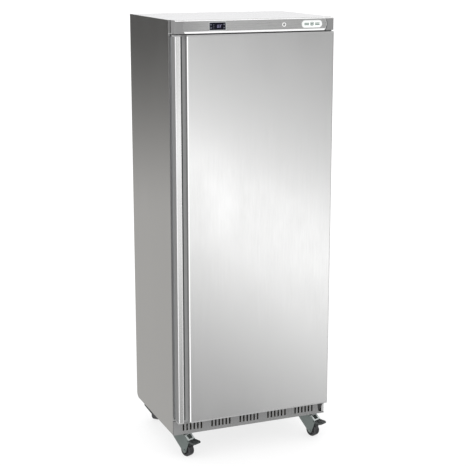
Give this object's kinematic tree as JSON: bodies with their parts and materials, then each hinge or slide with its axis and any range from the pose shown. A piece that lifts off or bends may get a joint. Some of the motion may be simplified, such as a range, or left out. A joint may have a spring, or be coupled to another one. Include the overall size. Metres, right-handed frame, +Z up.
{
  "type": "reach-in refrigerator",
  "caption": "Upright single-door reach-in refrigerator: insulated stainless cabinet on swivel castors, full-height grip, lockable door, digital controller and wire shelves.",
  "frame": {"origin": "on the floor under the middle of the cabinet, centre of the bounding box", "axes": "+X to the right seen from the front, +Y to the back (the door faces -Y), +Z up"},
  "size_m": [0.777, 0.606, 2.025],
  "materials": {
    "stainless": "satin",
    "galvanised": "matte",
    "foam": "matte",
    "white_plastic": "satin",
    "grey_plastic": "satin",
    "dark_plastic": "matte",
    "grip_aluminium": "satin",
    "gasket_rubber": "matte",
    "display_glass": "gloss",
    "key_plastic": "satin",
    "badge_white": "gloss",
    "chrome": "polished",
    "shelf_wire": "satin",
    "bracket_zinc": "satin",
    "black_paint": "satin",
    "coil_aluminium": "satin",
    "castor_zinc": "satin",
    "tread_rubber": "matte"
  },
  "bodies": {
    "cabinet": {"left_side_panel": "stainless", "right_side_panel": "stainless", "top_panel": "stainless", "back_panel": "galvanised", "base_tray": "galvanised", "front_frame": "stainless", "cabinet_insulation": "foam", "inner_liner": "white_plastic", "breaker_frame": "grey_plastic", "shelf_uprights": "galvanised", "shelf_clips": "shelf_wire", "wire_shelf_1": "shelf_wire", "wire_shelf_2": "shelf_wire", "wire_shelf_3": "shelf_wire", "wire_shelf_4": "shelf_wire", "top_hinge_bracket": "bracket_zinc", "bottom_hinge_bracket": "bracket_zinc", "fascia_panel": "stainless", "fascia_end_caps": "grey_plastic", "controller_housing": "grey_plastic", "controller_lens": "display_glass", "badge_plate": "badge_white", "lock_collar": "chrome", "kick_plate": "stainless", "panel_screws": "galvanised", "compressor": "black_paint", "compressor_mounts": "gasket_rubber", "condenser_coil": "black_paint", "condenser_fan_frame": "bracket_zinc", "drip_tray": "black_paint", "evaporator_cover": "white_plastic", "evaporator_coil": "coil_aluminium", "rear_grille": "galvanised", "cord_gland": "dark_plastic", "castor_plates": "castor_zinc", "castor_bolts": "galvanised"},
    "door": {"door_skin": "stainless", "door_insulation": "foam", "door_inner_panel": "white_plastic", "door_gasket": "gasket_rubber", "handle_profile": "grip_aluminium", "door_end_caps": "grey_plastic", "hinge_bushes": "white_plastic"},
    "lock": {"lock_barrel": "chrome"},
    "condenser_fan": {"condenser_fan_blade": "white_plastic"},
    "evaporator_fan": {"evaporator_fan_blade": "white_plastic"},
    "key_1": {"controller_button_1": "key_plastic"},
    "key_2": {"controller_button_2": "key_plastic"},
    "key_3": {"controller_button_3": "key_plastic"},
    "key_4": {"controller_button_4": "key_plastic"},
    "front_left_castor": {"front_left_fork": "castor_zinc"},
    "front_left_wheel": {"front_left_wheel": "tread_rubber"},
    "front_left_brake": {"front_left_brake": "dark_plastic"},
    "front_right_castor": {"front_right_fork": "castor_zinc"},
    "front_right_wheel": {"front_right_wheel": "tread_rubber"},
    "front_right_brake": {"front_right_brake": "dark_plastic"},
    "rear_left_castor": {"rear_left_fork": "castor_zinc"},
    "rear_left_wheel": {"rear_left_wheel": "tread_rubber"},
    "rear_right_castor": {"rear_right_fork": "castor_zinc"},
    "rear_right_wheel": {"rear_right_wheel": "tread_rubber"}
  },
  "joints": [
    {"name": "door_hinge", "type": "hinge", "parent": "cabinet", "child": "door", "pos_m": [0.3585, -0.282, 1], "axis": [0, 0, 1], "range_deg": [0, 105]},
    {"name": "lock_turn", "type": "hinge", "parent": "cabinet", "child": "lock", "pos_m": [0.133, -0.285, 1.997], "axis": [0, 1, 0], "range_deg": [0, 90]},
    {"name": "key_1_press", "type": "slide", "parent": "cabinet", "child": "key_1", "axis": [0, 1, 0], "range_m": [0, 0.0008], "stiffness_N_per_m": 250},
    {"name": "key_2_press", "type": "slide", "parent": "cabinet", "child": "key_2", "axis": [0, 1, 0], "range_m": [0, 0.0008], "stiffness_N_per_m": 250},
    {"name": "key_3_press", "type": "slide", "parent": "cabinet", "child": "key_3", "axis": [0, 1, 0], "range_m": [0, 0.0008], "stiffness_N_per_m": 250},
    {"name": "key_4_press", "type": "slide", "parent": "cabinet", "child": "key_4", "axis": [0, 1, 0], "range_m": [0, 0.0008], "stiffness_N_per_m": 250},
    {"name": "front_left_swivel", "type": "hinge", "parent": "cabinet", "child": "front_left_castor", "pos_m": [-0.326, -0.195, 0.1], "axis": [0, 0, 1], "continuous": true},
    {"name": "front_left_roll", "type": "hinge", "parent": "front_left_castor", "child": "front_left_wheel", "pos_m": [-0.31079, -0.22763, 0.03], "axis": [0.9063, 0.4226, 0], "continuous": true},
    {"name": "front_left_brake_tilt", "type": "hinge", "parent": "front_left_castor", "child": "front_left_brake", "pos_m": [-0.30107, -0.24847, 0.082], "axis": [0.9063, 0.4226, 0], "range_deg": [0, 14]},
    {"name": "front_right_swivel", "type": "hinge", "parent": "cabinet", "child": "front_right_castor", "pos_m": [0.326, -0.195, 0.1], "axis": [0, 0, 1], "continuous": true},
    {"name": "front_right_roll", "type": "hinge", "parent": "front_right_castor", "child": "front_right_wheel", "pos_m": [0.34121, -0.22763, 0.03], "axis": [0.9063, 0.4226, 0], "continuous": true},
    {"name": "front_right_brake_tilt", "type": "hinge", "parent": "front_right_castor", "child": "front_right_brake", "pos_m": [0.35093, -0.24847, 0.082], "axis": [0.9063, 0.4226, 0], "range_deg": [0, 14]},
    {"name": "rear_left_swivel", "type": "hinge", "parent": "cabinet", "child": "rear_left_castor", "pos_m": [-0.326, 0.234, 0.1], "axis": [0, 0, 1], "continuous": true},
    {"name": "rear_left_roll", "type": "hinge", "parent": "rear_left_castor", "child": "rear_left_wheel", "pos_m": [-0.30054, 0.25946, 0.03], "axis": [-0.7071, 0.7071, 0], "continuous": true},
    {"name": "rear_right_swivel", "type": "hinge", "parent": "cabinet", "child": "rear_right_castor", "pos_m": [0.326, 0.234, 0.1], "axis": [0, 0, 1], "continuous": true},
    {"name": "rear_right_roll", "type": "hinge", "parent": "rear_right_castor", "child": "rear_right_wheel", "pos_m": [0.33348, 0.26921, 0.03], "axis": [-0.9781, 0.2079, 0], "continuous": true},
    {"name": "condenser_fan_spin", "type": "hinge", "parent": "cabinet", "child": "condenser_fan", "pos_m": [-0.195, 0.1685, 0.233], "axis": [0, 1, 0], "continuous": true},
    {"name": "evaporator_fan_spin", "type": "hinge", "parent": "cabinet", "child": "evaporator_fan", "pos_m": [-0.13, 0.1203, 1.836], "axis": [0, 0, 1], "continuous": true}
  ]
}
